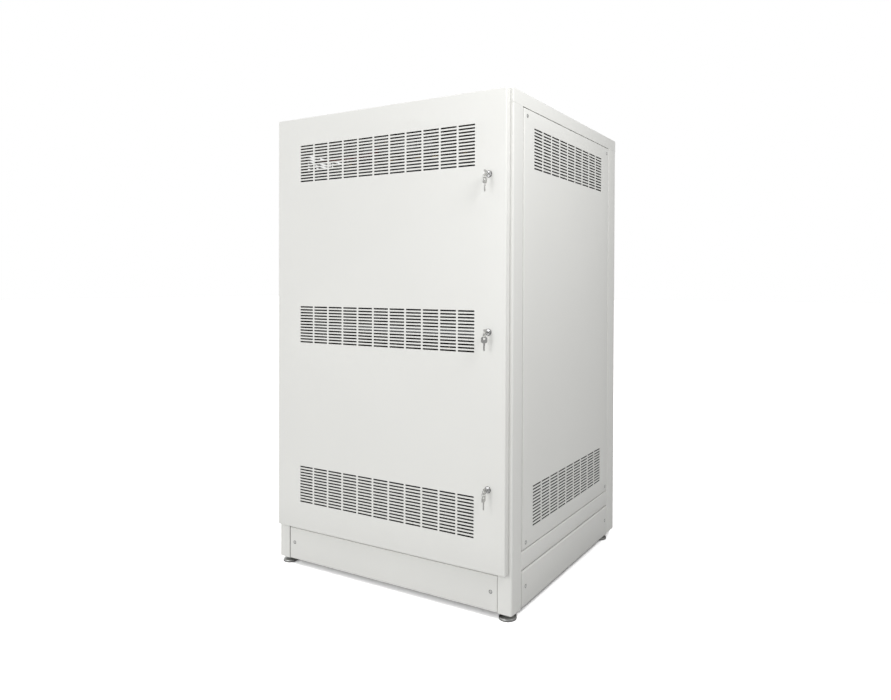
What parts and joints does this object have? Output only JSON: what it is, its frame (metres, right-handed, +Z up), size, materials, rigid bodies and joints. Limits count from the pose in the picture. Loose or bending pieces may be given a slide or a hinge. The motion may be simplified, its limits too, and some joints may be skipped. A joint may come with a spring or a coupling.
{
  "type": "battery cabinet",
  "caption": "Floor-standing vented sheet-steel cabinet that holds tiers of sealed battery blocks behind a hinged, locked door.",
  "frame": {"origin": "on the floor, below the middle of the whole object's bounding box, keys included", "axes": "+Z up, +X to the right as a person faces the door, +Y from the door to the rear panel"},
  "size_m": [0.9042, 0.8826, 1.5],
  "materials": {
    "off_white_powder_coat": "satin powder coat with a fine grain",
    "zinc_plated_steel": "bright zinc plate",
    "nickel_plated_key_steel": "nickel plate, lightly worn",
    "chromed_lock": "polished",
    "black_foam_rubber": "matt closed-cell foam",
    "dark_grey_abs": "fine moulded grain",
    "breaker_plastic": "fine moulded grain",
    "toggle_plastic": "smooth moulding",
    "red_cable_sheath": "smooth sheath",
    "black_cable_sheath": "smooth sheath"
  },
  "bodies": {
    "cabinet": {"post_front_left": "off_white_powder_coat", "post_front_right": "off_white_powder_coat", "post_rear_left": "off_white_powder_coat", "post_rear_right": "off_white_powder_coat", "top_cover": "off_white_powder_coat", "side_rail_left": "off_white_powder_coat", "side_rail_right": "off_white_powder_coat", "front_sill": "off_white_powder_coat", "floor_tray": "off_white_powder_coat", "gland_plate": "zinc_plated_steel", "side_panel_left": "off_white_powder_coat", "side_panel_right": "off_white_powder_coat", "plinth_left": "off_white_powder_coat", "plinth_right": "off_white_powder_coat", "plinth_front": "off_white_powder_coat", "rear_panel": "off_white_powder_coat", "hinge_frame_1": "zinc_plated_steel", "hinge_frame_2": "zinc_plated_steel", "hinge_frame_3": "zinc_plated_steel", "shelf_1": "zinc_plated_steel", "shelf_2": "zinc_plated_steel", "shelf_3": "zinc_plated_steel", "battery_tier_1": "dark_grey_abs", "battery_tier_2": "dark_grey_abs", "battery_tier_3": "dark_grey_abs", "battery_tier_4": "dark_grey_abs", "breaker_bracket": "zinc_plated_steel", "breaker_body": "breaker_plastic", "output_terminals": "breaker_plastic", "cable_positive": "red_cable_sheath", "cable_negative": "black_cable_sheath"},
    "door": {"door_panel": "off_white_powder_coat", "door_stiffener": "zinc_plated_steel", "door_gasket": "black_foam_rubber", "hinge_door_1": "zinc_plated_steel", "hinge_door_2": "zinc_plated_steel", "hinge_door_3": "zinc_plated_steel", "lock_barrel_top": "chromed_lock", "lock_barrel_middle": "chromed_lock", "lock_barrel_bottom": "chromed_lock"},
    "toggle": {"breaker_toggle": "toggle_plastic"},
    "lock_top": {"lock_plug_top": "chromed_lock", "lock_cam_top": "zinc_plated_steel"},
    "key_top_held": {"key_top": "nickel_plated_key_steel"},
    "ring_top": {"key_ring_top": "nickel_plated_key_steel"},
    "spare_top": {"spare_key_top": "nickel_plated_key_steel"},
    "lock_middle": {"lock_plug_middle": "chromed_lock", "lock_cam_middle": "zinc_plated_steel"},
    "key_middle_held": {"key_middle": "nickel_plated_key_steel"},
    "ring_middle": {"key_ring_middle": "nickel_plated_key_steel"},
    "spare_middle": {"spare_key_middle": "nickel_plated_key_steel"},
    "lock_bottom": {"lock_plug_bottom": "chromed_lock", "lock_cam_bottom": "zinc_plated_steel"},
    "key_bottom_held": {"key_bottom": "nickel_plated_key_steel"},
    "ring_bottom": {"key_ring_bottom": "nickel_plated_key_steel"},
    "spare_bottom": {"spare_key_bottom": "nickel_plated_key_steel"},
    "foot_front_left_stud": {"foot_front_left": "zinc_plated_steel"},
    "foot_front_right_stud": {"foot_front_right": "zinc_plated_steel"},
    "foot_rear_left_stud": {"foot_rear_left": "zinc_plated_steel"},
    "foot_rear_right_stud": {"foot_rear_right": "zinc_plated_steel"}
  },
  "joints": [
    {"name": "door_hinge", "type": "hinge", "parent": "cabinet", "child": "door", "pos_m": [-0.433, -0.39972, 0.8165], "axis": [0, 0, -1], "range_deg": [0, 115]},
    {"name": "lock_turn_top", "type": "hinge", "parent": "door", "child": "lock_top", "pos_m": [0.383, -0.38872, 1.2605], "axis": [0, 1, 0], "range_deg": [0, 90]},
    {"name": "key_slide_top", "type": "slide", "parent": "lock_top", "child": "key_top_held", "axis": [0, -1, 0], "range_m": [0, 0.016]},
    {"name": "ring_spin_top", "type": "hinge", "parent": "key_top_held", "child": "ring_top", "pos_m": [0.383, -0.43222, 1.252], "axis": [0, 1, 0], "range_deg": [-90, 0]},
    {"name": "spare_swing_top", "type": "hinge", "parent": "ring_top", "child": "spare_top", "pos_m": [0.383, -0.43222, 1.246], "axis": [-1, 0, 0], "range_deg": [-10, 30]},
    {"name": "lock_turn_middle", "type": "hinge", "parent": "door", "child": "lock_middle", "pos_m": [0.383, -0.38872, 0.8165], "axis": [0, 1, 0], "range_deg": [0, 90]},
    {"name": "key_slide_middle", "type": "slide", "parent": "lock_middle", "child": "key_middle_held", "axis": [0, -1, 0], "range_m": [0, 0.016]},
    {"name": "ring_spin_middle", "type": "hinge", "parent": "key_middle_held", "child": "ring_middle", "pos_m": [0.383, -0.43222, 0.808], "axis": [0.4384, 0.8988, 0], "range_deg": [-90, 0]},
    {"name": "spare_swing_middle", "type": "hinge", "parent": "ring_middle", "child": "spare_middle", "pos_m": [0.383, -0.43222, 0.802], "axis": [-0.8988, 0.4384, 0], "range_deg": [-10, 30]},
    {"name": "lock_turn_bottom", "type": "hinge", "parent": "door", "child": "lock_bottom", "pos_m": [0.383, -0.38872, 0.3725], "axis": [0, 1, 0], "range_deg": [0, 90]},
    {"name": "key_slide_bottom", "type": "slide", "parent": "lock_bottom", "child": "key_bottom_held", "axis": [0, -1, 0], "range_m": [0, 0.016]},
    {"name": "ring_spin_bottom", "type": "hinge", "parent": "key_bottom_held", "child": "ring_bottom", "pos_m": [0.383, -0.43222, 0.364], "axis": [0, 1, 0], "range_deg": [-90, 0]},
    {"name": "spare_swing_bottom", "type": "hinge", "parent": "ring_bottom", "child": "spare_bottom", "pos_m": [0.383, -0.43222, 0.358], "axis": [-1, 0, 0], "range_deg": [-10, 30]},
    {"name": "foot_front_left_level", "type": "slide", "parent": "cabinet", "child": "foot_front_left_stud", "axis": [0, 0, -1], "range_m": [0, 0.02]},
    {"name": "foot_front_right_level", "type": "slide", "parent": "cabinet", "child": "foot_front_right_stud", "axis": [0, 0, -1], "range_m": [0, 0.02]},
    {"name": "foot_rear_left_level", "type": "slide", "parent": "cabinet", "child": "foot_rear_left_stud", "axis": [0, 0, -1], "range_m": [0, 0.02]},
    {"name": "foot_rear_right_level", "type": "slide", "parent": "cabinet", "child": "foot_rear_right_stud", "axis": [0, 0, -1], "range_m": [0, 0.02]},
    {"name": "toggle_throw", "type": "hinge", "parent": "cabinet", "child": "toggle", "pos_m": [-0.045, -0.36602, 1.425], "axis": [-1, 0, 0], "range_deg": [0, 50]}
  ],
  "couplings": [
    {"joint": "ring_spin_top", "follows": "lock_turn_top", "ratio": -1},
    {"joint": "ring_spin_middle", "follows": "lock_turn_middle", "ratio": -1},
    {"joint": "ring_spin_bottom", "follows": "lock_turn_bottom", "ratio": -1}
  ]
}
